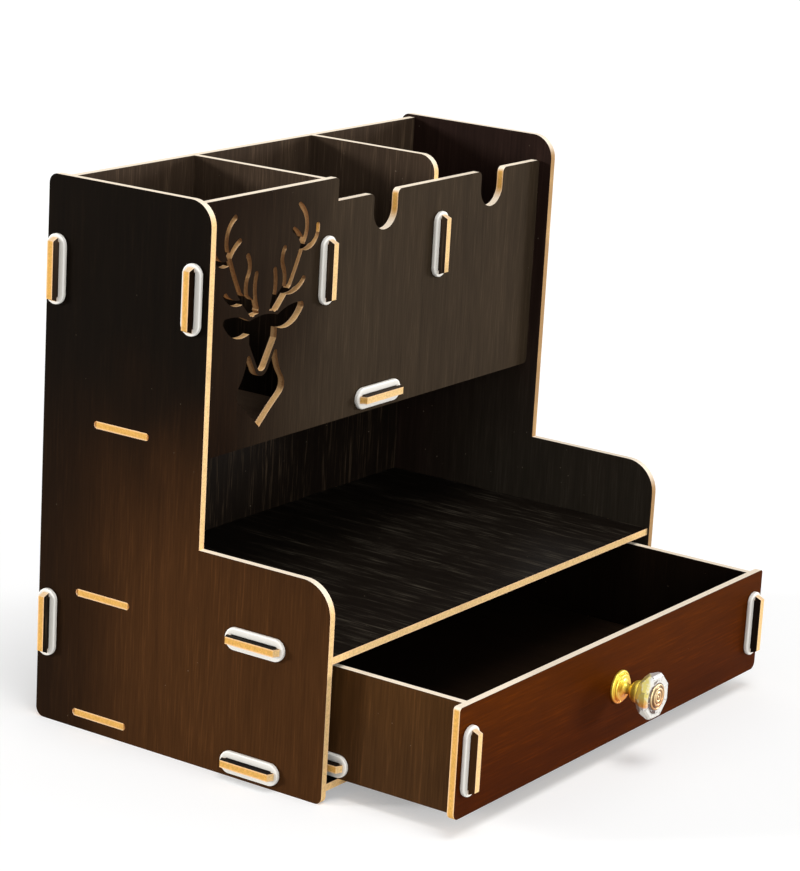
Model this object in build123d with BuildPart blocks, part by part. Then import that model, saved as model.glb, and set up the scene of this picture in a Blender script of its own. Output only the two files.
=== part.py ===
from build123d import *
from math import cos, radians, sin
import os

# Desk shelf of thin boards: tabs of one board pass through slots of the next,
# and long tabs are locked by a flat oval ring that clips over their neck.
# Millimetres. X runs to the right, Y to the back, Z up; the origin is under
# the middle of the whole object, drawer pulled out as it rests.

# Boards and the cabinet
board = 3.0
cabinet_width = 245.0
cabinet_height = 225.5
step_height = 88.5
tall_depth = 81.0
low_depth = 145.0
tall_corner_radius = 10.0
low_corner_radius = 13.5
rear_corner_radius = 4.0
foot_corner_radius = 3.0
cross_board_setdown = 1.3
back_inset = 4.0
back_bottom = 2.0
small_corner_radius = 2.0

# Tabs, slots and lock rings
tab_length = 25.6
long_tab_length = 28.5
neck_inset = 1.8
tab_reach = 8.0
tip_inset = 1.2
slot_side_gap = 0.1
slot_end_gap = 1.1
ring_thickness = 2.0
ring_play = 0.2
ring_length_gap = 0.15
ring_overlap = 0.3
ring_width = 9.2

# Front panel over the compartments
front_panel_depth = 75.0
front_panel_bottom = 122.0
front_step_drop = 9.7
front_step_length = 87.0
notch_width = 17.0
notch_depth = 16.0
notch_bottom_radius = 8.4
notch_lip_radius = 2.5
high_tab_drop = 38.5
back_tab_drop = 37.6
low_tab_z = 41.7

# Compartments, shelf and bottom
compartment_floor_z = 127.0
left_compartment_width = 78.8
right_compartment_width = 76.0
divider_corner_radius = 7.5
shelf_z = 55.9
shelf_setback = 1.0
bottom_z = 5.0
floor_tab_depth = 40.2
flush_tab_depth = 33.3
locked_tab_depth = 110.8
rear_tab_inset = 59.5

# Stag cut-out of the front panel
stag_from_side = 40.3
stag_bottom_margin = 7.0
stag_top_margin = 7.2
stag_half_width = 33.5
antler_width = 2.4

# Drawer
drawer_open = 58.0
drawer_front_side_gap = 1.1
drawer_rise = 0.3
drawer_height = 45.0
drawer_length = 137.5
drawer_side_gap = 7.0
drawer_back_inset = 4.0
drawer_bottom_rise = 4.0
drawer_tab_depth = 67.0
drawer_top_corner_radius = 1.5
drawer_foot_corner_radius = 3.0

# Knob
flange_radius = 7.0
flange_thickness = 2.3
flange_rim = 1.2
flange_step_radius = 5.7
neck_radius = 2.3
collar_start = 6.4
collar_slope = 1.2
collar_radius = 4.5
cup_radius = 4.9
cup_front = 11.4
crystal_radius = 10.0
crystal_front = 17.6
crystal_heart = 15.0
crystal_sides = 8
cap_radius = 5.4
cap_step = 0.5
cap_face_radius = 3.9
cap_thickness = 1.0
rod_radius = 1.5
rod_end = 7.0
screw_radius = 1.5
screw_end = 6.0
screw_head_radius = 3.6
screw_head_height = 2.2
bore_gap = 0.1
recess_width = 0.9
recess_length = 4.2
recess_depth = 1.1
quarter_turn = 90
full_turn = 360

# Places that follow from the sizes
knob_reach = crystal_front + cap_thickness
y_rear = (low_depth + drawer_open + knob_reach) / 2
x_inner = cabinet_width / 2 - board
slot_width = board + 2 * slot_side_gap
cross_board_top = cabinet_height - cross_board_setdown
front_panel_low_top = cross_board_top - front_step_drop
front_step_x = front_step_length - x_inner
high_tab_z = cabinet_height - high_tab_drop
back_tab_z = cabinet_height - back_tab_drop
divider_left_x = left_compartment_width - x_inner
divider_right_x = x_inner - right_compartment_width - board
rear_tab_x = x_inner - rear_tab_inset
stag_x = stag_from_side - x_inner
stag_bottom_z = front_panel_bottom + stag_bottom_margin
stag_height = cross_board_top - stag_top_margin - stag_bottom_z
y_front_panel = y_rear - front_panel_depth
y_back_panel = y_rear - back_inset - board
y_shelf_front = y_rear - low_depth + shelf_setback
y_bottom_front = y_rear - low_depth
divider_bottom = compartment_floor_z + board
bottom_top = bottom_z + board
drawer_z = bottom_top + drawer_rise
drawer_middle_z = drawer_z + drawer_height / 2
drawer_x = x_inner - drawer_side_gap
y_drawer_front = y_rear - low_depth - drawer_open
y_drawer_inside = y_drawer_front + board
y_drawer_rear = y_drawer_front + drawer_length
y_drawer_back = y_drawer_rear - drawer_back_inset - board
drawer_bottom_z = drawer_z + drawer_bottom_rise
middle_compartment_x = (divider_left_x + board + divider_right_x) / 2
right_compartment_x = (divider_right_x + board + x_inner) / 2


def finish(piece, label):
    """Name a finished piece and write it out."""
    piece.part.label = label
    export_step(piece.part, f"parts/{label}.step")


def add_tab(root, outward, length, locked):
    """Add a tab to the sketch at a board's edge, pointing along outward."""
    out = Vector(*outward)
    across = Vector(-out.Y, out.X)
    half = length / 2
    neck = half - neck_inset
    neck_end = board + ring_thickness + ring_play
    steps = [(0, half), (board, half)]
    if locked:
        steps += [(board, neck), (neck_end, neck), (neck_end, half)]
        steps += [(tab_reach, half - tip_inset)]
    start = Vector(*root)
    near = [start + out * reach + across * side for reach, side in steps]
    far = [start + out * reach - across * side for reach, side in reversed(steps)]
    Polygon(*near, *far, align=None)


def cut_open_slots(places):
    """Cut a level round-ended slot, seen around its flush tab, at each place."""
    with Locations(*places):
        SlotOverall(tab_length + 2 * slot_end_gap, slot_width, mode=Mode.SUBTRACT)


def cut_slots(places, upright=False, length=tab_length):
    """Cut a close-fitting slot, under a lock ring or at the rear, at each place."""
    turn = quarter_turn if upright else 0
    with Locations(*places):
        Rectangle(length + 2 * slot_side_gap, slot_width, rotation=turn, mode=Mode.SUBTRACT)


def lock_ring(label, centre, outward, upright=False, length=tab_length):
    """Flat oval ring on a board's face, around the neck of a tab that comes out of it."""
    level = Vector(*outward).cross(Vector(0, 0, 1))
    plane = Plane(origin=centre, x_dir=level, z_dir=outward)
    inner_length = length - 2 * neck_inset + 2 * ring_length_gap
    outer_length = length + 2 * slot_end_gap + 2 * ring_overlap
    turn = quarter_turn if upright else 0
    with BuildPart() as ring:
        with BuildSketch(plane):
            SlotOverall(outer_length, ring_width, rotation=turn)
            Rectangle(inner_length, slot_width, rotation=turn, mode=Mode.SUBTRACT)
        extrude(amount=ring_thickness)
    finish(ring, f"lock_ring_{label}")


os.makedirs("parts", exist_ok=True)

# Side panels: tall at the back, low in front, all tabs of the cross boards
# pass through them
side_points = [
    (y_rear, 0),
    (y_rear - low_depth, 0),
    (y_rear - low_depth, step_height),
    (y_rear - tall_depth, step_height),
    (y_rear - tall_depth, cabinet_height),
    (y_rear, cabinet_height),
]
side_radii = [
    rear_corner_radius,
    foot_corner_radius,
    low_corner_radius,
    0,
    tall_corner_radius,
    rear_corner_radius,
]
upright_side_slots = [
    (y_back_panel + board / 2, back_tab_z),
    (y_back_panel + board / 2, low_tab_z),
    (y_front_panel + board / 2, high_tab_z),
]
level_side_slots = [
    (y_rear - locked_tab_depth, shelf_z + board / 2),
    (y_rear - locked_tab_depth, bottom_z + board / 2),
]
open_side_slots = [
    (y_rear - floor_tab_depth, compartment_floor_z + board / 2),
    (y_rear - flush_tab_depth, shelf_z + board / 2),
    (y_rear - flush_tab_depth, bottom_z + board / 2),
]
for side, x_face in (("left", -cabinet_width / 2), ("right", x_inner)):
    with BuildPart() as side_panel:
        with BuildSketch(Plane.YZ.offset(x_face)):
            with BuildLine():
                FilletPolyline(*side_points, radius=side_radii, close=True)
            make_face()
            cut_slots(upright_side_slots, upright=True)
            cut_slots(level_side_slots)
            cut_open_slots(open_side_slots)
        extrude(amount=board)
    finish(side_panel, f"{side}_side_panel")

# Back panel: set in from the rear edges, with slots for the boards in front
rear_slot_x = (-rear_tab_x, rear_tab_x)
divider_x = (divider_left_x + board / 2, divider_right_x + board / 2)
with BuildPart() as back_panel:
    with BuildSketch(Plane.XZ.offset(-y_back_panel - board)):
        with Locations((0, back_bottom)):
            Rectangle(2 * x_inner, cross_board_top - back_bottom, align=(Align.CENTER, Align.MIN))
        for end in (-1, 1):
            for tab_z in (low_tab_z, back_tab_z):
                add_tab((end * x_inner, tab_z), (end, 0), tab_length, locked=True)
        for level in (bottom_z, shelf_z, compartment_floor_z):
            cut_slots([(x, level + board / 2) for x in rear_slot_x])
        cut_slots([(x, high_tab_z) for x in divider_x], upright=True)
    extrude(amount=board)
finish(back_panel, "back_panel")

# Front panel: a tall left part with the stag and a lower right part with a
# finger notch in front of each of the other two compartments
notch_x = (right_compartment_x, middle_compartment_x)
front_points = [
    (-x_inner, front_panel_bottom),
    (x_inner, front_panel_bottom),
    (x_inner, front_panel_low_top),
]
front_radii = [small_corner_radius] * len(front_points)
for x in notch_x:
    for side, depth in ((1, 0), (1, notch_depth), (-1, notch_depth), (-1, 0)):
        front_points.append((x + side * notch_width / 2, front_panel_low_top - depth))
        front_radii.append(notch_bottom_radius if depth else notch_lip_radius)
front_points += [
    (front_step_x, front_panel_low_top),
    (front_step_x, cross_board_top),
    (-x_inner, cross_board_top),
]
front_radii += [0, small_corner_radius, small_corner_radius]

# Antlers as arcs through three points: shares of the half width and height
antler_arc_shares = [
    ((0.625, 0.990), (0.770, 0.915), (0.720, 0.820)),
    ((0.720, 0.820), (0.600, 0.720), (0.480, 0.635)),
    ((0.480, 0.635), (0.370, 0.595), (0.210, 0.535)),
    ((1.000, 0.880), (0.950, 0.815), (0.700, 0.795)),
    ((0.525, 0.880), (0.620, 0.855), (0.700, 0.815)),
    ((0.355, 0.805), (0.315, 0.765), (0.350, 0.710)),
    ((0.350, 0.710), (0.375, 0.670), (0.350, 0.615)),
    ((0.180, 0.715), (0.200, 0.650), (0.145, 0.555)),
    ((0.755, 0.645), (0.600, 0.605), (0.405, 0.605)),
]
antler_root_shares = [
    (0.100, 0.532),
    (0.260, 0.525),
    (0.430, 0.590),
    (0.400, 0.630),
    (0.320, 0.625),
    (0.190, 0.590),
]
# Right halves of the head with its ear and of the neck: a pair of points is
# a line, three points are an arc
head_half_shares = [
    ((0.000, 0.520), (0.120, 0.517), (0.270, 0.505)),
    ((0.270, 0.505), (0.500, 0.536), (0.715, 0.540)),
    ((0.715, 0.540), (0.775, 0.530), (0.760, 0.505)),
    ((0.760, 0.505), (0.545, 0.442), (0.270, 0.445)),
    ((0.270, 0.445), (0.262, 0.398)),
    ((0.262, 0.398), (0.078, 0.277)),
    ((0.078, 0.277), (0.045, 0.264), (0.000, 0.260)),
    ((0.000, 0.260), (0.000, 0.520)),
]
neck_half_shares = [
    ((0.000, 0.237), (0.070, 0.245), (0.128, 0.270)),
    ((0.128, 0.270), (0.236, 0.341)),
    ((0.236, 0.341), (0.266, 0.345), (0.290, 0.332)),
    ((0.290, 0.332), (0.340, 0.265), (0.430, 0.210)),
    ((0.430, 0.210), (0.460, 0.165), (0.405, 0.130)),
    ((0.405, 0.130), (0.215, 0.072), (0.000, 0.000)),
    ((0.000, 0.000), (0.000, 0.237)),
]


def stag_points(shares):
    """Points of the stag in millimetres from its lowest point."""
    return [(x * stag_half_width, z * stag_height) for x, z in shares]


def draw_outline(outline_shares):
    """Draw lines and arcs of one closed outline."""
    for segment in outline_shares:
        points = stag_points(segment)
        if len(points) == 3:
            ThreePointArc(*points)
        else:
            Line(*points)


stag_plane = Plane(
    origin=(stag_x, y_front_panel + board, stag_bottom_z),
    x_dir=(1, 0, 0),
    z_dir=(0, -1, 0),
)
with BuildPart() as front_panel:
    with BuildSketch(Plane.XZ.offset(-y_front_panel - board)):
        with BuildLine():
            FilletPolyline(*front_points, radius=front_radii, close=True)
        make_face()
        for end in (-1, 1):
            add_tab((end * x_inner, high_tab_z), (end, 0), tab_length, locked=True)
        cut_slots([(x, high_tab_z) for x in divider_x], upright=True)
        cut_slots([(middle_compartment_x, compartment_floor_z + board / 2)], length=long_tab_length)
    extrude(amount=board)
    with BuildSketch(stag_plane):
        for segment in antler_arc_shares:
            SlotArc(Edge.make_three_point_arc(*stag_points(segment)), antler_width)
        Polygon(*stag_points(antler_root_shares), align=None)
        with BuildLine():
            draw_outline(head_half_shares)
        make_face()
        with BuildLine():
            draw_outline(neck_half_shares)
        make_face()
        mirror(about=Plane.YZ)
    extrude(amount=board, mode=Mode.SUBTRACT)
finish(front_panel, "front_panel")

# Dividers: uprights between the compartments, locked to the front panel
y_front_inside = y_front_panel + board
dividers = (("left", divider_left_x, 0), ("right", divider_right_x, divider_corner_radius))
for side, x_face, corner_radius in dividers:
    divider_points = [
        (y_front_inside, divider_bottom),
        (y_back_panel, divider_bottom),
        (y_back_panel, cross_board_top),
        (y_front_inside, cross_board_top),
    ]
    with BuildPart() as divider:
        with BuildSketch(Plane.YZ.offset(x_face)):
            with BuildLine():
                FilletPolyline(*divider_points, radius=[0, 0, 0, corner_radius], close=True)
            make_face()
            add_tab((y_front_inside, high_tab_z), (-1, 0), tab_length, locked=True)
            add_tab((y_back_panel, high_tab_z), (1, 0), tab_length, locked=False)
        extrude(amount=board)
    finish(divider, f"divider_{side}")

# Compartment floor: one long locked tab through the front panel
with BuildPart() as compartment_floor:
    with BuildSketch(Plane.XY.offset(compartment_floor_z)):
        with Locations((0, y_back_panel)):
            Rectangle(2 * x_inner, y_back_panel - y_front_inside, align=(Align.CENTER, Align.MAX))
        for end in (-1, 1):
            add_tab((end * x_inner, y_rear - floor_tab_depth), (end, 0), tab_length, locked=False)
            add_tab((end * rear_tab_x, y_back_panel), (0, 1), tab_length, locked=False)
        add_tab((middle_compartment_x, y_front_inside), (0, -1), long_tab_length, locked=True)
    extrude(amount=board)
finish(compartment_floor, "compartment_floor")

# Middle shelf and bottom plate: the same board at two heights
level_boards = (
    ("middle_shelf", shelf_z, y_shelf_front),
    ("bottom_plate", bottom_z, y_bottom_front),
)
for label, z_face, y_front in level_boards:
    with BuildPart() as level_board:
        with BuildSketch(Plane.XY.offset(z_face)):
            with Locations((0, y_back_panel)):
                Rectangle(2 * x_inner, y_back_panel - y_front, align=(Align.CENTER, Align.MAX))
            for end in (-1, 1):
                add_tab((end * x_inner, y_rear - flush_tab_depth), (end, 0), tab_length, locked=False)
                add_tab((end * x_inner, y_rear - locked_tab_depth), (end, 0), tab_length, locked=True)
                add_tab((end * rear_tab_x, y_back_panel), (0, 1), tab_length, locked=False)
        extrude(amount=board)
    finish(level_board, label)

# Lock rings of the cabinet
for side, end in (("left", -1), ("right", 1)):
    x_out = end * cabinet_width / 2
    outward = (end, 0, 0)
    y_back_tab = y_back_panel + board / 2
    y_front_tab = y_front_panel + board / 2
    y_locked_tab = y_rear - locked_tab_depth
    lock_ring(f"{side}_back_upper", (x_out, y_back_tab, back_tab_z), outward, upright=True)
    lock_ring(f"{side}_back_lower", (x_out, y_back_tab, low_tab_z), outward, upright=True)
    lock_ring(f"{side}_front_panel", (x_out, y_front_tab, high_tab_z), outward, upright=True)
    lock_ring(f"{side}_shelf", (x_out, y_locked_tab, shelf_z + board / 2), outward)
    lock_ring(f"{side}_bottom", (x_out, y_locked_tab, bottom_z + board / 2), outward)
forward = (0, -1, 0)
for side, x in zip(("left", "right"), divider_x):
    lock_ring(f"divider_{side}", (x, y_front_panel, high_tab_z), forward, upright=True)
floor_ring_centre = (middle_compartment_x, y_front_panel, compartment_floor_z + board / 2)
lock_ring("compartment_floor", floor_ring_centre, forward, length=long_tab_length)

# Drawer front: inset between the side panels when the drawer is shut
drawer_tab_x = drawer_x - board / 2
drawer_front_x = x_inner - drawer_front_side_gap
drawer_front_points = [
    (-drawer_front_x, drawer_z),
    (drawer_front_x, drawer_z),
    (drawer_front_x, drawer_z + drawer_height),
    (-drawer_front_x, drawer_z + drawer_height),
]
drawer_front_radii = [drawer_foot_corner_radius] * 2 + [drawer_top_corner_radius] * 2
with BuildPart() as drawer_front:
    with BuildSketch(Plane.XZ.offset(-y_drawer_inside)):
        with BuildLine():
            FilletPolyline(*drawer_front_points, radius=drawer_front_radii, close=True)
        make_face()
        with Locations((0, drawer_middle_z)):
            Circle(screw_radius + bore_gap, mode=Mode.SUBTRACT)
        drawer_front_slots = [(end * drawer_tab_x, drawer_middle_z) for end in (-1, 1)]
        cut_slots(drawer_front_slots, upright=True)
    extrude(amount=board)
finish(drawer_front, "drawer_front")

# Drawer sides: locked through the front, with slots for the bottom and the back
for side, x_face in (("left", -drawer_x), ("right", drawer_x - board)):
    with BuildPart() as drawer_side:
        with BuildSketch(Plane.YZ.offset(x_face)):
            with Locations((y_drawer_inside, drawer_z)):
                Rectangle(
                    y_drawer_rear - y_drawer_inside,
                    drawer_height,
                    align=(Align.MIN, Align.MIN),
                )
            add_tab((y_drawer_inside, drawer_middle_z), (-1, 0), tab_length, locked=True)
            cut_slots([(y_drawer_front + drawer_tab_depth, drawer_bottom_z + board / 2)])
            cut_slots([(y_drawer_back + board / 2, drawer_middle_z)], upright=True)
        extrude(amount=board)
    finish(drawer_side, f"drawer_{side}_side")

# Drawer back
drawer_inside_x = drawer_x - board
with BuildPart() as drawer_back:
    with BuildSketch(Plane.XZ.offset(-y_drawer_back - board)):
        with Locations((0, drawer_middle_z)):
            Rectangle(2 * drawer_inside_x, drawer_height)
        for end in (-1, 1):
            add_tab((end * drawer_inside_x, drawer_middle_z), (end, 0), tab_length, locked=False)
        cut_slots([(x, drawer_bottom_z + board / 2) for x in rear_slot_x])
    extrude(amount=board)
finish(drawer_back, "drawer_back")

# Drawer bottom
with BuildPart() as drawer_bottom:
    with BuildSketch(Plane.XY.offset(drawer_bottom_z)):
        with Locations((0, y_drawer_back)):
            Rectangle(
                2 * drawer_inside_x,
                y_drawer_back - y_drawer_inside,
                align=(Align.CENTER, Align.MAX),
            )
        for end in (-1, 1):
            side_root = (end * drawer_inside_x, y_drawer_front + drawer_tab_depth)
            add_tab(side_root, (end, 0), tab_length, locked=True)
            add_tab((end * rear_tab_x, y_drawer_back), (0, 1), tab_length, locked=False)
    extrude(amount=board)
finish(drawer_bottom, "drawer_bottom")

# Lock rings of the drawer
for side, end in (("left", -1), ("right", 1)):
    front_centre = (end * drawer_tab_x, y_drawer_front, drawer_middle_z)
    lock_ring(f"drawer_front_{side}", front_centre, forward, upright=True)
    y_bottom_tab = y_drawer_front + drawer_tab_depth
    side_centre = (end * drawer_x, y_bottom_tab, drawer_bottom_z + board / 2)
    lock_ring(f"drawer_side_{side}", side_centre, (end, 0, 0))

# Knob: turned pieces in a row on an axis that points forward out of the
# drawer front; their profiles are (radius, distance from the front's face)
knob_plane = Plane(
    origin=(0, y_drawer_front, drawer_middle_z),
    x_dir=(1, 0, 0),
    z_dir=(0, 0, -1),
)
knob_axis = Axis((0, y_drawer_front, drawer_middle_z), forward)
bore_radius = rod_radius + bore_gap

with BuildPart() as knob_base:
    with BuildSketch(knob_plane):
        with BuildLine():
            Polyline(
                (bore_radius, 0),
                (flange_radius, 0),
                (flange_radius, flange_rim),
                (flange_step_radius, flange_rim),
                (flange_step_radius, flange_thickness),
                (bore_radius, flange_thickness),
                close=True,
            )
        make_face()
    revolve(axis=knob_axis)
finish(knob_base, "knob_base")

with BuildPart() as knob_stem:
    with BuildSketch(knob_plane):
        with BuildLine():
            Polyline(
                (bore_radius, flange_thickness),
                (neck_radius, flange_thickness),
                (neck_radius, collar_start),
                (collar_radius, collar_start + collar_slope),
                (cup_radius, cup_front),
                (bore_radius, cup_front),
                close=True,
            )
        make_face()
    revolve(axis=knob_axis)
finish(knob_stem, "knob_stem")

# Crystal: facets cut from a short rod, each row with its tilt in degrees
# towards the front, its reach from the heart and its turn in steps
facet_row_shares = [
    (-2, 0.905, 0),
    (41, 0.808, 0),
    (-60, 0.720, 0),
    (40, 0.892, 0.5),
    (-39, 0.739, 0.5),
]
heart = Vector(0, y_drawer_front - crystal_heart, drawer_middle_z)
with BuildPart() as knob_crystal:
    with BuildSketch(Plane(origin=knob_plane.origin, z_dir=forward).offset(cup_front)):
        Circle(crystal_radius)
    extrude(amount=crystal_front - cup_front)
    for tilt, reach_share, half_turn in facet_row_shares:
        for step in range(crystal_sides):
            turn = radians((step + half_turn) * full_turn / crystal_sides)
            lean = radians(tilt)
            outward = Vector(cos(turn) * cos(lean), -sin(lean), sin(turn) * cos(lean))
            facet = Plane(origin=heart + outward * reach_share * crystal_radius, z_dir=outward)
            split(bisect_by=facet, keep=Keep.BOTTOM)
    with BuildSketch(Plane(origin=knob_plane.origin, z_dir=forward).offset(cup_front)):
        Circle(bore_radius)
    extrude(amount=crystal_front - cup_front, mode=Mode.SUBTRACT)
finish(knob_crystal, "knob_crystal")

with BuildPart() as knob_cap:
    with BuildSketch(knob_plane):
        with BuildLine():
            Polyline(
                (0, rod_end),
                (rod_radius, rod_end),
                (rod_radius, crystal_front),
                (cap_radius, crystal_front),
                (cap_radius, crystal_front + cap_step),
                (cap_face_radius, crystal_front + cap_step),
                (cap_face_radius, knob_reach),
                (0, knob_reach),
                close=True,
            )
        make_face()
    revolve(axis=knob_axis)
finish(knob_cap, "knob_cap")

# Screw from inside the drawer, with a cross recess in its flat round head
screw_head_plane = Plane(
    origin=(0, y_drawer_inside + screw_head_height, drawer_middle_z),
    z_dir=forward,
)
with BuildPart() as knob_screw:
    with BuildSketch(knob_plane):
        with BuildLine():
            Polyline(
                (0, screw_end),
                (screw_radius, screw_end),
                (screw_radius, -board),
                (screw_head_radius, -board),
                (screw_head_radius, -board - screw_head_height),
                (0, -board - screw_head_height),
                close=True,
            )
        make_face()
    revolve(axis=knob_axis)
    with BuildSketch(screw_head_plane):
        for turn in (0, quarter_turn):
            Rectangle(recess_length, recess_width, rotation=turn)
    extrude(amount=recess_depth, mode=Mode.SUBTRACT)
finish(knob_screw, "knob_screw")
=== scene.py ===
import math

import bmesh
import bpy
from mathutils import Matrix, Vector


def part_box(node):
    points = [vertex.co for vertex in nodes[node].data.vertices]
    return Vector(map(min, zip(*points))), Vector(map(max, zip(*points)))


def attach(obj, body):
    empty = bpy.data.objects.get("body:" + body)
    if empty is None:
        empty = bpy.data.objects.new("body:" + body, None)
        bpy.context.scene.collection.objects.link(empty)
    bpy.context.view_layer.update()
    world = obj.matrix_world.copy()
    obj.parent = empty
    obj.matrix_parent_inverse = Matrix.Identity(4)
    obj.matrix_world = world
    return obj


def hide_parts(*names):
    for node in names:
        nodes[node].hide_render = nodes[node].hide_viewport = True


MM = 0.001
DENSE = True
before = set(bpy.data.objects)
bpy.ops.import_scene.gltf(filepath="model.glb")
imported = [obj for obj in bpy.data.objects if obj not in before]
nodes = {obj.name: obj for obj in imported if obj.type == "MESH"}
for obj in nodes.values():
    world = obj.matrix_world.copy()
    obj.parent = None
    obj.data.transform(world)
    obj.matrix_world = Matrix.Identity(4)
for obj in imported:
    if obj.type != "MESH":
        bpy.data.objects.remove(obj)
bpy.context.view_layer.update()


# Colours and the nodes of a finish


def paint(code):
    """Linear red, green and blue of a colour code, with full alpha."""
    shares = [int(code[start : start + 2], 16) / 255 for start in (0, 2, 4)]
    linear = [
        share / 12.92 if share <= 0.04045 else ((share + 0.055) / 1.055) ** 2.4
        for share in shares
    ]
    return (*linear, 1)


class Varying:
    """A value that changes over a surface, with arithmetic on it."""

    def __init__(self, finish, socket):
        self.finish = finish
        self.socket = socket

    def __add__(self, other):
        return self.finish.math("ADD", self, other)

    def __sub__(self, other):
        return self.finish.math("SUBTRACT", self, other)

    def __rsub__(self, other):
        return self.finish.math("SUBTRACT", other, self)

    def __mul__(self, other):
        return self.finish.math("MULTIPLY", self, other)

    def __truediv__(self, other):
        return self.finish.math("DIVIDE", self, other)

    def __pow__(self, other):
        return self.finish.math("POWER", self, other)

    def __gt__(self, other):
        return self.finish.math("GREATER_THAN", self, other)

    def __lt__(self, other):
        return self.finish.math("LESS_THAN", self, other)

    def __abs__(self):
        return self.finish.math("ABSOLUTE", self)

    __radd__ = __add__


class Finish:
    """A node tree under construction, of a material or of the world."""

    def __init__(self, tree):
        self.tree = tree

    def node(self, kind, settings=None, values=None, output=0):
        """Add a node, with its settings first, then its values or links."""
        made = self.tree.nodes.new(kind)
        for name, value in (settings or {}).items():
            setattr(made, name, value)
        for name, value in (values or {}).items():
            self.feed(made.inputs[name], value)
        return Varying(self, made.outputs[output]) if made.outputs else None

    def feed(self, socket, value):
        """Link a varying value to a socket, or set a plain one on it."""
        if isinstance(value, Varying):
            self.tree.links.new(value.socket, socket)
        else:
            socket.default_value = value

    def math(self, operation, *values):
        return self.node("ShaderNodeMath", {"operation": operation}, dict(enumerate(values)))

    def largest(self, first, *others):
        """The largest of some values."""
        for other in others:
            first = self.math("MAXIMUM", first, other)
        return first

    def ease(self, value, low, high):
        """0 below low, 1 above high and smooth between them."""
        return self.node(
            "ShaderNodeMapRange",
            {"interpolation_type": "SMOOTHSTEP"},
            {"Value": value, "From Min": low, "From Max": high},
        )

    def fall(self, value, low, high):
        """1 below low, 0 above high and smooth between them."""
        return 1 - self.ease(value, low, high)

    def blend(self, share, first, second):
        """The first colour where share is 0, the second where it is 1."""
        return self.node(
            "ShaderNodeMix",
            {"data_type": "RGBA"},
            {"Factor": share, 6: first, 7: second},
            output=2,
        )

    def shade(self, colour, level):
        """A colour times a level."""
        return self.node(
            "ShaderNodeVectorMath",
            {"operation": "SCALE"},
            {0: colour, "Scale": level},
        )

    def place(self, output="Object"):
        return self.node("ShaderNodeTexCoord", output=output)

    def parts(self, vector):
        """The X, Y and Z of a vector."""
        split = self.node("ShaderNodeSeparateXYZ", values={0: vector})
        return [Varying(self, socket) for socket in split.socket.node.outputs]

    def noise(self, vector, scale, detail=2.0, roughness=0.5, stretch=(1, 1, 1)):
        """Fractal noise from 0 to 1, stretched along an axis where its factor is small."""
        laid = self.node("ShaderNodeMapping", values={"Vector": vector, "Scale": stretch})
        return self.node(
            "ShaderNodeTexNoise",
            values={"Vector": laid, "Scale": scale, "Detail": detail, "Roughness": roughness},
        )

    def bump(self, height, distance, strength):
        """A surface direction tilted by relief of this height, at most distance deep."""
        return self.node(
            "ShaderNodeBump",
            values={"Height": height, "Distance": distance, "Strength": strength},
        )


def new_finish(name, **constants):
    """A material with its constants set, its tree to build in and its shader's sockets."""
    material = bpy.data.materials.new(name)
    material.use_nodes = True
    shader = material.node_tree.nodes["Principled BSDF"]
    for socket, value in constants.items():
        shader.inputs[socket.replace("_", " ")].default_value = value
    return material, Finish(material.node_tree), shader.inputs


# Boards: a dark wood-grain face on bare, heat-tanned edges

AXES = {"x": 0, "y": 1, "z": 2}
BOARD_GLOSS = 0.02
SATIN_ROUGHNESS = 0.36
RAW_ROUGHNESS = 0.76
BOARD_RELIEF = 0.12 * MM
BOARD_RELIEF_STRENGTH = 0.4

# The face: fine grain, its wider figure, clouds, pale streaks and specks of dust.
# Scales are in waves per metre, pairs are the start and the end of a smooth step.
GRAIN_ACROSS = 1150
GRAIN_ALONG = 55
FIGURE_ACROSS = 210
FIGURE_ALONG = 11
CLOUD_SCALE = 24
SPECK_SCALE = 900
SPECK_LEVEL = 0.91
SPECK_SHARE = 0.25
DUST = paint("C9B79C")
FACE_BASE = 0.20
GRAIN_SHARE = 0.75
FIGURE_SHARE = 0.50
CLOUD_SHARE = 0.25
STREAK_SHARE = 0.30
GRAIN_STREAKS = (0.50, 0.72)
FIGURE_STREAKS = (0.38, 0.62)
REAR_FADE = (42 * MM, 108 * MM)
REAR_FADE_SHARE = 0.80

# The edge: a fibrous core between paler rims, browned in bands, with painted light: lighter where
# it looks forward, a painted highlight where it looks up and painted shade on the walls of the
# narrow cuts
TAN_SIDE = paint("E3AD5B")
TAN_FRONT_PAINTED_LIGHT = paint("FAD292")
TAN_RIM = paint("FFD3A2")
TAN_PAINTED_HIGHLIGHT = paint("FFF2DE")
TAN_BURNT_AND_SHADED = paint("B48E62")
SCORCH = paint("6E4628")
FIBRE_SCALE = 1100
BAND_SCALE = 60
BROWN_BANDS = (0.55, 1.25)
LOOKS_UP = (0.10, 0.80)
LOOKS_FORWARD = (-0.30, -0.90)
RIM_REACH = (0.50, 0.95)
RIM_SHARE = 0.80
PAINTED_HIGHLIGHT_SHARE = 0.90
HIGHLIGHT_LOST_ON_TABS = 0.50
HIGHLIGHT_LOST_IN_CUTS = 0.85
BROWN_LOST_LOOKING_UP = 0.80
CHAR_DEPTH = (0.15, 0.75)
CHAR_RAGGEDNESS = 0.8
CHAR_SHARE = 0.75


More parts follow.
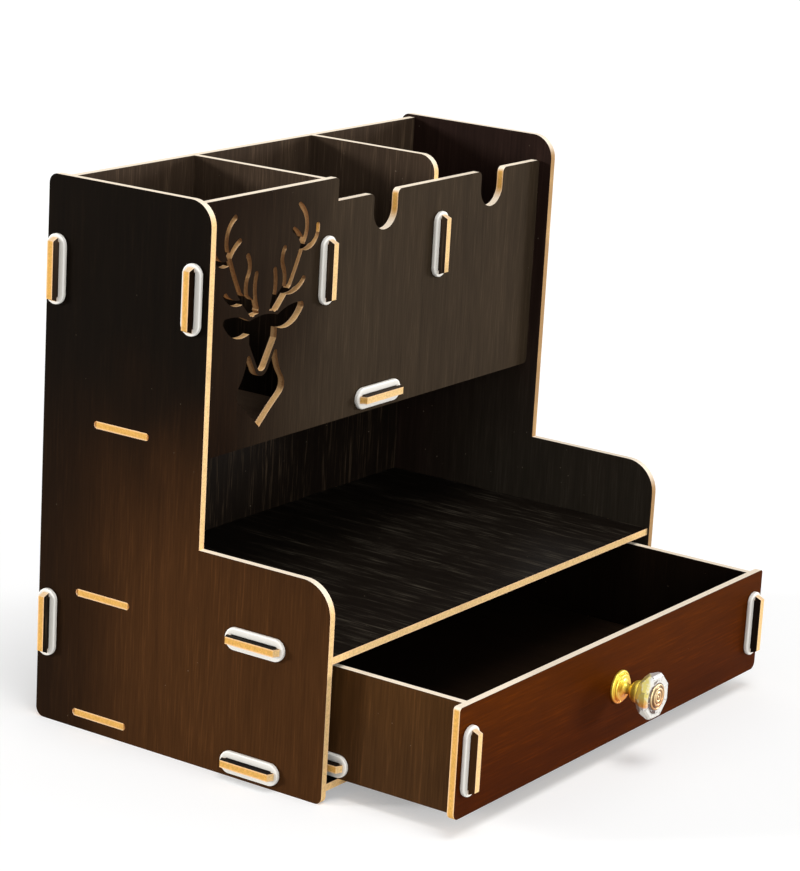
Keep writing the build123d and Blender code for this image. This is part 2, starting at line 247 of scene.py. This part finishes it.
class BoardGrain:
    """The places, directions and noises on one board that its colours follow."""

    def __init__(self, finish, node, thin, grain):
        self.through = AXES[thin]
        low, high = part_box(node)
        self.low = low[self.through]
        self.high = high[self.through]
        self.place = finish.place()
        self.spots = finish.parts(self.place)
        self.normal = finish.parts(finish.place("Normal"))
        self.fine = self.drawn_out(finish, grain, GRAIN_ACROSS, GRAIN_ALONG, 3.0)
        self.figure = self.drawn_out(finish, grain, FIGURE_ACROSS, FIGURE_ALONG, 2.0)
        self.cloud = finish.noise(self.place, CLOUD_SCALE, detail=1.0)
        self.fibre = finish.noise(self.place, FIBRE_SCALE, detail=3.0, roughness=0.7)

    def drawn_out(self, finish, grain, across, along, detail):
        """Noise drawn out along the grain."""
        factors = [across] * 3
        factors[AXES[grain]] = along
        return finish.noise(self.place, 1.0, detail=detail, roughness=0.6, stretch=tuple(factors))


def face_colour(finish, board, tones, run, inner, rear_fade, streak):
    """The colour of a board's dark wood-grain face."""
    axis, start, end = run
    wander = (board.cloud - 0.5) * abs(end - start) * 0.5
    share = finish.ease(board.spots[AXES[axis]] + wander, start, end)
    if rear_fade:
        share = share * (1 - finish.ease(board.spots[1], *REAR_FADE) * REAR_FADE_SHARE)
    colour = finish.blend(share, *tones)
    if inner:
        sign, *inner_tones = inner
        looks_in = (board.normal[board.through] * sign) > 0.5
        colour = finish.blend(looks_in, colour, finish.blend(share, *inner_tones))

    level = FACE_BASE + board.fine * GRAIN_SHARE + board.figure * FIGURE_SHARE
    streaks = finish.ease(board.fine, *GRAIN_STREAKS)
    streaks = streaks * finish.ease(board.figure, *FIGURE_STREAKS)
    level = level + board.cloud * CLOUD_SHARE + streaks * STREAK_SHARE
    colour = finish.shade(colour, level)
    if streak:
        streak_tone, strength = streak
        colour = finish.blend(streaks * strength, colour, streak_tone)
    speck = finish.noise(board.place, SPECK_SCALE, detail=0.0) > SPECK_LEVEL
    return finish.blend(speck * SPECK_SHARE, colour, DUST)


def edge_colour(finish, board, burnt, cuts, comes_through):
    """The colour of a board's bare edge."""
    thickness = board.high - board.low
    middle = (board.low + board.high) / 2
    reach = abs(board.spots[board.through] - middle) / (thickness / 2)
    band = finish.noise(board.place, BAND_SCALE, detail=1.0)
    brown = finish.ease(band + burnt, *BROWN_BANDS)
    upward = finish.ease(board.normal[2], *LOOKS_UP)
    on_tab = abs(board.spots[0]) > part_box("right_side_panel")[1].x
    if comes_through:
        on_tab = finish.largest(on_tab, board.spots[1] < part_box(comes_through)[0].y)
    # Painted highlight: edges that look up are painted pale cream, less so on tabs and in the
    # narrow cuts.
    pale = upward * (PAINTED_HIGHLIGHT_SHARE - on_tab * HIGHLIGHT_LOST_ON_TABS)
    if cuts:
        (centre_x, centre_z), (reach_x, reach_z) = cuts
        inside = abs(board.spots[0] - centre_x) < reach_x
        inside = inside * (abs(board.spots[2] - centre_z) < reach_z)
        # The cut walls are browner: scorch, and painted shade on the walls that do not look up.
        brown = finish.largest(brown, inside * (1 - upward * BROWN_LOST_LOOKING_UP))
        pale = pale * (1 - inside * HIGHLIGHT_LOST_IN_CUTS)
        depth = (board.spots[board.through] - board.low) / thickness
        ragged = depth + (board.fibre - 0.5) * CHAR_RAGGEDNESS
        charred = inside * (1 - upward) * finish.fall(ragged, *CHAR_DEPTH)

    # Painted light: edges that look forward are painted lighter than those that look aside.
    forward = finish.ease(board.normal[1], *LOOKS_FORWARD)
    colour = finish.blend(forward, TAN_SIDE, TAN_FRONT_PAINTED_LIGHT)
    colour = finish.shade(colour, 0.66 + board.fibre * 0.62)
    colour = finish.blend(finish.ease(reach, *RIM_REACH) * RIM_SHARE, colour, TAN_RIM)
    colour = finish.blend(brown, colour, TAN_BURNT_AND_SHADED)
    colour = finish.blend(pale, colour, TAN_PAINTED_HIGHLIGHT)
    if cuts:
        colour = finish.blend(charred * CHAR_SHARE, colour, SCORCH)
    return finish.shade(colour, 0.86 + board.fibre * 0.28)


def board_finish(
    node,
    thin,
    grain,
    tones,
    run,
    gloss=BOARD_GLOSS,
    burnt=0.0,
    inner=None,
    rear_fade=False,
    streak=None,
    cuts=None,
    comes_through=None,
):
    """A board's material.

    thin is the axis through the board and grain the one along its figure.
    tones are the face's colours at the start and at the end of run, an axis
    with two places on it. rear_fade takes the face back to its first tone
    towards the rear. burnt is how much browner the edges are. inner is a
    direction along the thin axis and the two tones of the face that looks
    that way. streak is the colour and strength of pale streaks. cuts is the
    centre and reach of the box of narrow cuts, browned more by scorch and by
    painted shade. comes_through is the board in front that the tabs come
    through."""
    material, finish, sockets = new_finish(f"board_{node}", Specular_IOR_Level=gloss)
    board = BoardGrain(finish, node, thin, grain)
    face = abs(board.normal[board.through]) > 0.5
    edge = edge_colour(finish, board, burnt, cuts, comes_through)
    laminate = face_colour(finish, board, tones, run, inner, rear_fade, streak)
    finish.feed(sockets["Base Color"], finish.blend(face, edge, laminate))
    satin = SATIN_ROUGHNESS + board.cloud * 0.10 + board.fine * 0.14
    raw = RAW_ROUGHNESS + board.fibre * 0.18
    finish.feed(sockets["Roughness"], face * satin + (1 - face) * raw)
    height = face * board.fine * 0.5 + (1 - face) * board.fibre
    finish.feed(sockets["Normal"], finish.bump(height, BOARD_RELIEF, BOARD_RELIEF_STRENGTH))
    return material


# The boards' tones, and along which axis and between which places they change

SIDE_TONES = (paint("100A05"), paint("462A13"))
FRONT_PANEL_TONES = (paint("1C1007"), paint("3B3024"))
UPRIGHT_TONES = (paint("46382C"), paint("1B1510"))
SHELF_TONES = (paint("14100C"), paint("17120E"))
DRAWER_FRONT_TONES = (paint("451A00"), paint("502200"))
DRAWER_SIDE_TONES = (paint("4A2F16"), paint("462D17"))
# Painted shade: the drawer's back and bottom are painted near-black, as inside the drawer.
DRAWER_INSIDE_SHADED_TONES = (paint("1A120C"), paint("1D140D"))
INNER_SIDE_TONES = (paint("281B16"), paint("363028"))
# Painted shade: the faces inside the drawer's sides are painted darker than their outsides.
DRAWER_SIDE_INSIDE_SHADED_TONES = (paint("1A120C"), paint("1A120C"))
PALE_STREAKS = (paint("75604A"), 0.30)
GREY_STREAKS = (paint("5E574B"), 0.45)

SIDE_RUN = ("z", 168 * MM, 60 * MM)
FRONT_PANEL_RUN = ("x", -120 * MM, -10 * MM)
UPRIGHT_RUN = ("z", 224 * MM, 130 * MM)
LEVEL_RUN = ("y", 100 * MM, -30 * MM)
DRAWER_FRONT_RUN = ("z", 10 * MM, 52 * MM)
DRAWER_SIDE_RUN = ("z", 50 * MM, 10 * MM)
DRAWER_BACK_RUN = ("z", 10 * MM, 50 * MM)

FRONT_GLOSS = 0.01
UPRIGHT_BURNT = 0.1
# The right side panel's edges are browner than the others.
RIGHT_SIDE_BROWNER = 0.75
STAG_CUTS = ((-79.2 * MM, 173 * MM), (34.5 * MM, 46 * MM))

SIDE = {"thin": "x", "grain": "z", "tones": SIDE_TONES, "run": SIDE_RUN, "rear_fade": True}
UPRIGHT = {
    "grain": "z",
    "tones": UPRIGHT_TONES,
    "run": UPRIGHT_RUN,
    "burnt": UPRIGHT_BURNT,
    "streak": PALE_STREAKS,
}
DIVIDER = UPRIGHT | {"thin": "x", "comes_through": "front_panel"}
LEVEL = {"thin": "z", "grain": "y", "run": LEVEL_RUN}
DRAWER_SIDE = {
    "thin": "x",
    "grain": "z",
    "tones": DRAWER_SIDE_TONES,
    "run": DRAWER_SIDE_RUN,
    "comes_through": "drawer_front",
}
BOARDS = {
    "left_side_panel": SIDE | {"inner": (1, *INNER_SIDE_TONES)},
    "right_side_panel": SIDE | {"inner": (-1, *INNER_SIDE_TONES), "burnt": RIGHT_SIDE_BROWNER},
    "back_panel": UPRIGHT | {"thin": "y"},
    "front_panel": {
        "thin": "y",
        "grain": "z",
        "tones": FRONT_PANEL_TONES,
        "run": FRONT_PANEL_RUN,
        "gloss": FRONT_GLOSS,
        "cuts": STAG_CUTS,
    },
    "divider_left": DIVIDER,
    "divider_right": DIVIDER,
    "compartment_floor": LEVEL | {"tones": UPRIGHT_TONES, "comes_through": "front_panel"},
    "middle_shelf": LEVEL | {"tones": SHELF_TONES, "streak": GREY_STREAKS},
    "bottom_plate": LEVEL | {"tones": SHELF_TONES},
    "drawer_front": {
        "thin": "y",
        "grain": "x",
        "tones": DRAWER_FRONT_TONES,
        "run": DRAWER_FRONT_RUN,
        "gloss": FRONT_GLOSS,
    },
    "drawer_left_side": DRAWER_SIDE | {"inner": (1, *DRAWER_SIDE_INSIDE_SHADED_TONES)},
    "drawer_right_side": DRAWER_SIDE | {"inner": (-1, *DRAWER_SIDE_INSIDE_SHADED_TONES)},
    "drawer_back": {
        "thin": "y",
        "grain": "z",
        "tones": DRAWER_INSIDE_SHADED_TONES,
        "run": DRAWER_BACK_RUN,
    },
    "drawer_bottom": LEVEL | {"tones": DRAWER_INSIDE_SHADED_TONES},
}


def dress(node, material):
    """Give a CAD node its material in every slot."""
    slots = nodes[node].material_slots
    if not slots:
        nodes[node].data.materials.append(material)
    for slot in slots:
        slot.material = material


for board, look in BOARDS.items():
    dress(board, board_finish(board, **look))


# Making pieces

SAME_SPOT = 0.001 * MM


def piece(name, mesh, material, body, stands_for):
    """Turn a finished bmesh into an object that rides on a body and stands for a node."""
    bmesh.ops.recalc_face_normals(mesh, faces=mesh.faces[:])
    for made_face in mesh.faces:
        made_face.smooth = True
    data = bpy.data.meshes.new(name)
    mesh.to_mesh(data)
    mesh.free()
    data.materials.append(material)
    made = bpy.data.objects.new(name, data)
    bpy.context.scene.collection.objects.link(made)
    weighted = made.modifiers.new("even_shading", "WEIGHTED_NORMAL")
    weighted.keep_sharp = True
    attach(made, body)
    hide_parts(stands_for)
    return made


def round_sharp_edges(mesh, width, segments, least):
    """Round every edge whose two faces turn by more than least degrees."""
    least = math.radians(least)
    sharp = [edge for edge in mesh.edges if edge.is_manifold and edge.calc_face_angle() > least]
    bmesh.ops.bevel(
        mesh,
        geom=sharp,
        affect="EDGES",
        offset=width,
        segments=segments,
        profile=0.5,
        material=-1,
    )


# Lock rings: pale moulded plastic, flat ovals with rounded rims

RING_WHITE = paint("FFFCF4")
RING_FLAT_SHADE = paint("F2EDE3")
RING_GLOSS = 0.5
RING_COAT = 0.15
RING_FLAT = (0.90, 0.995)
RING_RIM = 0.62 * MM
RING_RIM_STEPS = 3
RING_END_SHARE = 0.995
RING_CORNER_STEPS = 14 if DENSE else 6
OPENING_WIDTH = 3.2 * MM
OPENING_CORNER = 0.6 * MM
OPENING_ENDS = 6.1 * MM


def ring_finish():
    """Moulded white plastic, with painted shade: a little greyer on the flat than on the rounded
    rim.
    """
    material, finish, sockets = new_finish(
        "ring_plastic",
        Specular_IOR_Level=RING_GLOSS,
        Coat_Weight=RING_COAT,
    )
    place = finish.place()
    normal = finish.parts(finish.place("Normal"))
    # Painted shade: the flat faces are painted greyer than the rounded rim.
    flat = finish.ease(finish.largest(*(abs(part) for part in normal)), *RING_FLAT)
    flow = finish.noise(place, 160, detail=3.0)
    grit = finish.noise(place, 2600, detail=2.0, roughness=0.7)
    tone = finish.blend(flat * (0.75 + flow * 0.25), RING_WHITE, RING_FLAT_SHADE)
    finish.feed(sockets["Base Color"], finish.shade(tone, 0.96 + grit * 0.06))
    finish.feed(sockets["Roughness"], 0.34 + flow * 0.12 + grit * 0.08)
    finish.feed(sockets["Normal"], finish.bump(grit, 0.04 * MM, 0.4))
    return material


def flat_outline(mesh, length, width, corner):
    """Add a flat oblong with rounded corners, centred, its length along X."""
    made = bmesh.ops.create_grid(mesh, x_segments=1, y_segments=1, size=0.5)
    bmesh.ops.scale(mesh, vec=(length, width, 1), verts=made["verts"])
    bmesh.ops.bevel(
        mesh,
        geom=made["verts"],
        affect="VERTICES",
        offset=corner,
        segments=RING_CORNER_STEPS,
        profile=0.5,
        material=-1,
    )


def lock_ring(node, material):
    """A lock ring in the place of its CAD node: an oval around a long opening."""
    low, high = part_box(node)
    size = high - low
    order = sorted(range(3), key=lambda axis: -size[axis])
    length, width, thickness = (size[axis] for axis in order)
    mesh = bmesh.new()
    flat_outline(mesh, length, width, width / 2 * RING_END_SHARE)
    flat_outline(mesh, length - OPENING_ENDS, OPENING_WIDTH, OPENING_CORNER)
    bmesh.ops.delete(mesh, geom=mesh.faces[:], context="FACES_ONLY")
    bmesh.ops.bridge_loops(mesh, edges=mesh.edges[:])
    raised = bmesh.ops.extrude_face_region(mesh, geom=mesh.faces[:])
    lifted = [part for part in raised["geom"] if isinstance(part, bmesh.types.BMVert)]
    bmesh.ops.translate(mesh, vec=(0, 0, thickness), verts=lifted)
    bmesh.ops.recalc_face_normals(mesh, faces=mesh.faces[:])
    round_sharp_edges(mesh, RING_RIM, RING_RIM_STEPS, least=60)

    turn = Matrix(
        [[1.0 if axis == order[column] else 0.0 for column in range(3)] for axis in range(3)]
    )
    centred = Matrix.Translation((0, 0, -thickness / 2))
    shift = Matrix.Translation((low + high) / 2) @ turn.to_4x4() @ centred
    bmesh.ops.transform(mesh, matrix=shift, verts=mesh.verts[:])
    body = "drawer" if "drawer" in node else "cabinet"
    piece(f"moulded_{node}", mesh, material, body, node)


ring_plastic = ring_finish()
for node in sorted(nodes):
    if node.startswith("lock_ring_"):
        lock_ring(node, ring_plastic)


# Knob: turned gold pieces and a cut crystal on the drawer's front

GOLD = paint("FFE35C")
GOLD_SHADED_WARM = paint("E89030")
GOLD_CREASE_SHADE = paint("8A4A08")
BRONZE = paint("F6DDAA")
BRONZE_SHADED_WARM = paint("C98A52")
PAINTED_DARK_BROWN = paint("4A2208")
GOLD_METAL = 0.72
GOLD_GLOSS = 0.5
GOLD_LIT = (-0.55, 0.60)
GOLD_CREASE = (0.44, 0.50)
BRUSHED = (500, 9000, 500)
GROOVE_WIDTH = (0.05 * MM, 0.40 * MM)
GROOVE_SHARE = 0.85
KNOB_RELIEF = 0.02 * MM
KNOB_SPIN_STEPS = 96 if DENSE else 48
TURNED_ROUND = 0.12 * MM
TURNED_ROUND_STEPS = 3

# The profiles below are in millimetres, and so are these two radii
FLANGE_RADIUS = 7.0
BORE_RADIUS = 1.6


def from_knob_axis(finish, spots):
    """The height over the knob's axis and the distance from it."""
    base_low, base_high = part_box("knob_base")
    height = spots[2] - (base_low.z + base_high.z) / 2
    return height, finish.math("SQRT", spots[0] ** 2 + height ** 2)


def gold_finish(name, bright, warm, grooves=()):
    """Polished gold plate with painted light and shade: bright where it looks up
    and towards the upper left, warm where it looks down, with painted shade
    deep in its creases and brown in grooves at these radii."""
    material, finish, sockets = new_finish(
        name,
        Metallic=GOLD_METAL,
        Specular_IOR_Level=GOLD_GLOSS,
    )
    place = finish.place()
    spots = finish.parts(place)
    normal = finish.parts(finish.place("Normal"))
    cloud = finish.noise(place, 260, detail=2.0)
    brushed = finish.noise(place, 1.0, detail=2.0, stretch=BRUSHED)
    height, radius = from_knob_axis(finish, spots)
    # Painted light and shade: lighter higher up, to the left and where the surface looks up.
    aside = (height * 0.65 - spots[0] * 0.30) / (FLANGE_RADIUS * MM)
    lit = normal[2] * 0.55 + aside + (cloud - 0.5) * 0.6
    tone = finish.blend(finish.ease(lit, *GOLD_LIT), warm, bright)
    # Painted shade: creases, found by their pointiness, are painted deep gold.
    crease = finish.node("ShaderNodeNewGeometry", output="Pointiness")
    tone = finish.blend(finish.fall(crease, *GOLD_CREASE), tone, GOLD_CREASE_SHADE)
    # Painted shade: brown lines in the grooves at these radii.
    for groove in grooves:
        near = finish.fall(abs(radius - groove * MM), *GROOVE_WIDTH)
        tone = finish.blend(near * GROOVE_SHARE, tone, PAINTED_DARK_BROWN)
    finish.feed(sockets["Base Color"], tone)
    finish.feed(sockets["Roughness"], 0.20 + cloud * 0.10 + brushed * 0.08)
    finish.feed(sockets["Normal"], finish.bump(brushed, KNOB_RELIEF, 0.3))
    return material


def turned(node, profile, material):
    """Spin a profile of (radius, distance in front of the drawer's face) in millimetres."""
    base_low, base_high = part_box("knob_base")
    centre = (base_low + base_high) / 2
    centre.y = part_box("drawer_front")[0].y
    mesh = bmesh.new()
    corners = [mesh.verts.new((radius * MM, -reach * MM, 0)) for radius, reach in profile]
    runs = [mesh.edges.new(pair) for pair in zip(corners, corners[1:])]
    if profile[0][0] > 0:
        runs.append(mesh.edges.new((corners[-1], corners[0])))
    bmesh.ops.spin(
        mesh,
        geom=corners + runs,
        cent=(0, 0, 0),
        axis=(0, 1, 0),
        angle=2 * math.pi,
        steps=KNOB_SPIN_STEPS,
        use_merge=True,
    )
    bmesh.ops.remove_doubles(mesh, verts=mesh.verts[:], dist=SAME_SPOT)
    bmesh.ops.recalc_face_normals(mesh, faces=mesh.faces[:])
    round_sharp_edges(mesh, TURNED_ROUND, TURNED_ROUND_STEPS, least=25)
    bmesh.ops.translate(mesh, vec=centre, verts=mesh.verts[:])
    piece(f"turned_{node}", mesh, material, "drawer", node)


FLANGE = [
    (BORE_RADIUS, 0.0),
    (FLANGE_RADIUS, 0.0),
    (FLANGE_RADIUS, 0.8),
    (6.6, 1.2),
    (6.1, 1.2),
    (5.9, 1.0),
    (5.7, 1.2),
    (5.7, 1.9),
    (5.3, 2.3),
    (BORE_RADIUS, 2.3),
]
STEM = [
    (BORE_RADIUS, 2.3),
    (4.0, 2.3),
    (3.3, 2.6),
    (2.6, 3.1),
    (2.25, 3.9),
    (2.15, 5.0),
    (2.25, 6.0),
    (2.7, 6.5),
    (3.7, 6.9),
    (4.4, 7.6),
    (4.7, 8.6),
    (4.75, 9.6),
    (4.6, 10.4),
    (4.4, 10.8),
    (4.7, 11.0),
    (4.85, 11.4),
    (BORE_RADIUS, 11.4),
]
BOSS = [
    (0.0, 7.0),
    (1.5, 7.0),
    (1.5, 17.6),
    (5.4, 17.6),
    (5.4, 17.85),
    (5.15, 18.1),
    (4.85, 18.1),
    (4.6, 17.85),
    (4.4, 17.85),
    (4.15, 18.1),
    (3.9, 18.15),
    (3.9, 18.4),
    (3.7, 18.6),
    (3.2, 18.6),
    (2.9, 18.25),
    (2.4, 18.25),
    (2.1, 18.5),
    (1.6, 18.5),
    (1.2, 18.2),
    (0.7, 18.2),
    (0.4, 18.4),
    (0.0, 18.4),
]
BOSS_GROOVES = (0.95, 2.65, 4.05, 4.5)

gold = gold_finish("knob_gold", GOLD, GOLD_SHADED_WARM)
bronze_gold = gold_finish("knob_boss_gold", BRONZE, BRONZE_SHADED_WARM, grooves=BOSS_GROOVES)
turned("knob_base", FLANGE, gold)
turned("knob_stem", STEM, gold)
turned("knob_cap", BOSS, bronze_gold)


# The crystal: eight facets around, bright, with a painted reflection of its gold stem on one side

FACETS_AROUND = 8
CRYSTAL_CLEAR = paint("FFFFFC")
CRYSTAL_SHADED = paint("EDE6D6")
CRYSTAL_FACING = (-0.9, 0.7)
CRYSTAL_METAL = 0.40
CRYSTAL_METAL_LOST_IN_GOLD = 0.22
ARRIS = 0.09 * MM
REFRACTED_EDGE_GREY = paint("86786A")
REFRACTED_EDGE_WIDTH = (0.02, 0.09)
REFRACTED_EDGE_START = (5.8 * MM, 7.2 * MM)
REFRACTED_EDGE_SHARE = 0.75

# The painted reflection of the gold stem, with painted cream highlights: from its foot
# upwards, and from the stem to a line that slants across the knob
REFLECTED_GOLD_ORANGE = paint("FFA030")
REFLECTED_GOLD_YELLOW = paint("FFEC78")
REFLECTED_GOLD_CREAM = paint("FFF6C4")
REFLECTED_GOLD_RISE = (-2.8 * MM, 2.4 * MM)
REFLECTED_GOLD_SHARE = 0.95
REFLECTED_CREAM_SHARE = 0.75
GOLDEN_FOOT = (-3.3 * MM, -2.1 * MM)
GOLDEN_END = (10.0 * MM, 12.4 * MM)
GOLDEN_ALONG = 0.837
GOLDEN_ACROSS = 0.546
GOLDEN_WANDER = 4.0

# A painted dark ring of shade around the boss and painted dark glints beside it, which lean to
# one side
CRYSTAL_FRONT = 16.5 * MM
BOSS_EDGE = 5.5 * MM
BOSS_EDGE_WIDTH = (0.15 * MM, 0.45 * MM)
GLINT_RADIUS = 6.4 * MM
GLINT_WIDTH = (0.4 * MM, 1.2 * MM)
GLINT_LEAN = 30
PAINTED_DARK_SHARE = 0.95


def crystal_finish():
    """Cut crystal, bright, with painted light: a painted reflection of the gold
    stem on the side towards the stem, painted shade on facets that look down
    and to the right, a painted dark ring and dark glints around the boss and
    painted grey lines on its front where the rear facets' edges show through."""
    material, finish, sockets = new_finish(
        "knob_crystal_glass",
        Transmission_Weight=0.12,
        IOR=1.45,
    )
    place = finish.place()
    spots = finish.parts(place)
    normal = finish.parts(finish.place("Normal"))
    haze = finish.noise(place, 420, detail=2.0)
    cloud = finish.noise(place, 300, detail=1.0)
    glint = finish.noise(place, 620, detail=2.0)
    height, radius = from_knob_axis(finish, spots)
    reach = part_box("knob_base")[1].y - spots[1]
    front = reach > CRYSTAL_FRONT

    # Painted shade: facets that look down and to the right are painted duller.
    facing = finish.ease(normal[2] - normal[0] * 0.5, *CRYSTAL_FACING)
    clear = finish.blend(facing, CRYSTAL_SHADED, CRYSTAL_CLEAR)
    clear = finish.shade(clear, 0.97 + haze * 0.06)
    # Painted reflection: the gold stem painted on the crystal's side towards it, orange below,
    # yellow above, with cream highlights.
    sideways = reach * GOLDEN_ALONG + spots[0] * GOLDEN_ACROSS
    sideways = sideways + (cloud - 0.5) * GOLDEN_WANDER * MM
    golden = finish.fall(sideways, *GOLDEN_END) * finish.ease(height, *GOLDEN_FOOT)
    glow = finish.blend(finish.ease(height, *REFLECTED_GOLD_RISE), REFLECTED_GOLD_ORANGE, REFLECTED_GOLD_YELLOW)
    glow = finish.blend(finish.ease(glint, 0.48, 0.62) * REFLECTED_CREAM_SHARE, glow, REFLECTED_GOLD_CREAM)
    tone = finish.blend(golden * REFLECTED_GOLD_SHARE, clear, glow)

    # Painted refraction: grey lines on the front where the rear facets' edges show through.
    turn = finish.math("ARCTAN2", height, spots[0]) / (2 * math.pi / FACETS_AROUND)
    refracted_edges = finish.fall(finish.math("PINGPONG", turn + 0.5, 0.5), *REFRACTED_EDGE_WIDTH)
    seen = front * finish.ease(radius, *REFRACTED_EDGE_START) * finish.ease(glint, 0.40, 0.60)
    tone = finish.blend(refracted_edges * seen * REFRACTED_EDGE_SHARE, tone, REFRACTED_EDGE_GREY)

    # Painted shade: a dark ring around the boss; painted reflection: dark glints beside it.
    edge = finish.fall(abs(radius - BOSS_EDGE), *BOSS_EDGE_WIDTH)
    around = finish.fall(abs(radius - GLINT_RADIUS), *GLINT_WIDTH)
    glints = around * finish.ease(glint - spots[0] * GLINT_LEAN, 0.49, 0.57)
    dark = front * finish.largest(edge, glints)
    tone = finish.blend(dark * PAINTED_DARK_SHARE, tone, PAINTED_DARK_BROWN)

    finish.feed(sockets["Base Color"], tone)
    metal = (CRYSTAL_METAL - golden * CRYSTAL_METAL_LOST_IN_GOLD) * (1 - dark)
    finish.feed(sockets["Metallic"], metal)
    finish.feed(sockets["Roughness"], haze * 0.06)
    finish.feed(sockets["Normal"], finish.bump(haze, KNOB_RELIEF, 0.2))
    return material


def cut_crystal(node):
    """The crystal's facets with fine bright arrises, from a merged copy of its node."""
    mesh = bmesh.new()
    mesh.from_mesh(nodes[node].data)
    bmesh.ops.remove_doubles(mesh, verts=mesh.verts[:], dist=SAME_SPOT)
    bmesh.ops.dissolve_limit(
        mesh,
        angle_limit=math.radians(1),
        verts=mesh.verts[:],
        edges=mesh.edges[:],
    )
    round_sharp_edges(mesh, ARRIS, 1, least=12)
    made = piece("cut_knob_crystal", mesh, crystal_finish(), "drawer", node)
    for polygon in made.data.polygons:
        polygon.use_smooth = False


cut_crystal("knob_crystal")


# The screw inside the drawer

STEEL_DARK = paint("8E8B86")
STEEL_BRIGHT = paint("C9C6BF")
SCRATCHES = (6000, 600, 900)


def screw_finish():
    """Plain steel, clouded and finely scratched."""
    material, finish, sockets = new_finish("screw_steel", Metallic=1.0)
    place = finish.place()
    cloud = finish.noise(place, 700, detail=3.0)
    scratch = finish.noise(place, 1.0, detail=2.0, stretch=SCRATCHES)
    finish.feed(sockets["Base Color"], finish.blend(cloud, STEEL_DARK, STEEL_BRIGHT))
    finish.feed(sockets["Roughness"], 0.28 + cloud * 0.12 + scratch * 0.10)
    finish.feed(sockets["Normal"], finish.bump(scratch, 0.03 * MM, 0.3))
    return material


dress("knob_screw", screw_finish())


# Floor, light and camera

SKY_LEVEL = 0.38
FLOOR_SHADE = 0.74
FLOOR_LIFT = 0.34
FLOOR_HALF = 6.0
LIGHTS = {
    "top_light": ((-0.10, -0.25, 1.0), 0.40, 30),
    "left_light": ((-1.0, 1.10, 0.30), 0.64, 10),
    "front_light": ((-0.55, -1.0, 0.35), 0.23, 30),
    "right_light": ((1.0, -0.75, 0.14), 0.54, 14),
}
CAMERA_PLACE = (-1.005237, -0.655111, 0.437903)
CAMERA_TURN = (1.308642, -0.055519, -0.963551)
CAMERA_LENS = 135.294
CAMERA_FILM = 36.0
CAMERA_NEAR = 0.05


def seen_white(finish):
    """1 for rays from the camera and for rays in metal and glass, 0 for light on the object."""
    rays = finish.node("ShaderNodeLightPath").socket.node.outputs
    kinds = ("Is Camera Ray", "Is Glossy Ray", "Is Transmission Ray")
    return finish.largest(*(Varying(finish, rays[kind]) for kind in kinds))


def pale_floor():
    """A wide pale floor that keeps the object's shadow."""
    mesh = bmesh.new()
    bmesh.ops.create_grid(mesh, x_segments=2, y_segments=2, size=FLOOR_HALF)
    data = bpy.data.meshes.new("pale_floor")
    mesh.to_mesh(data)
    mesh.free()
    floor = bpy.data.objects.new("pale_floor", data)
    bpy.context.scene.collection.objects.link(floor)
    material = bpy.data.materials.new("pale_floor")
    material.use_nodes = True
    material.node_tree.nodes.clear()
    finish = Finish(material.node_tree)
    grey = (FLOOR_SHADE, FLOOR_SHADE, FLOOR_SHADE, 1)
    matte = finish.node("ShaderNodeBsdfDiffuse", values={"Color": grey})
    strength = seen_white(finish) * FLOOR_LIFT
    lift = finish.node("ShaderNodeEmission", values={"Strength": strength})
    both = finish.node("ShaderNodeAddShader", values={0: matte, 1: lift})
    finish.node("ShaderNodeOutputMaterial", values={"Surface": both})
    data.materials.append(material)


def plain_sky():
    """A plain white sky, dimmer as a light than as a background."""
    world = bpy.data.worlds.new("plain_sky")
    world.use_nodes = True
    world.node_tree.nodes.clear()
    finish = Finish(world.node_tree)
    strength = SKY_LEVEL + seen_white(finish) * (1 - SKY_LEVEL)
    white = (1, 1, 1, 1)
    glow = finish.node("ShaderNodeBackground", values={"Color": white, "Strength": strength})
    finish.node("ShaderNodeOutputWorld", values={"Surface": glow})
    bpy.context.scene.world = world


def soft_sun(name, towards, level, spread):
    """A lamp far off in the direction towards, as wide as spread degrees."""
    lamp = bpy.data.lights.new(name, "SUN")
    lamp.energy = level * math.pi
    lamp.angle = math.radians(spread)
    holder = bpy.data.objects.new(name, lamp)
    holder.rotation_euler = Vector(towards).to_track_quat("Z", "Y").to_euler()
    bpy.context.scene.collection.objects.link(holder)


def photo_camera():
    """The camera of the photograph, solved from the straight edges of the boards."""
    data = bpy.data.cameras.new("photo_camera")
    data.lens = CAMERA_LENS
    data.sensor_width = CAMERA_FILM
    data.sensor_fit = "HORIZONTAL"
    data.clip_start = CAMERA_NEAR
    camera = bpy.data.objects.new("photo_camera", data)
    camera.location = CAMERA_PLACE
    camera.rotation_euler = CAMERA_TURN
    bpy.context.scene.collection.objects.link(camera)
    bpy.context.scene.camera = camera


pale_floor()
plain_sky()
for light, (towards, level, spread) in LIGHTS.items():
    soft_sun(light, towards, level, spread)
photo_camera()
bpy.context.scene.view_settings.view_transform = "Standard"
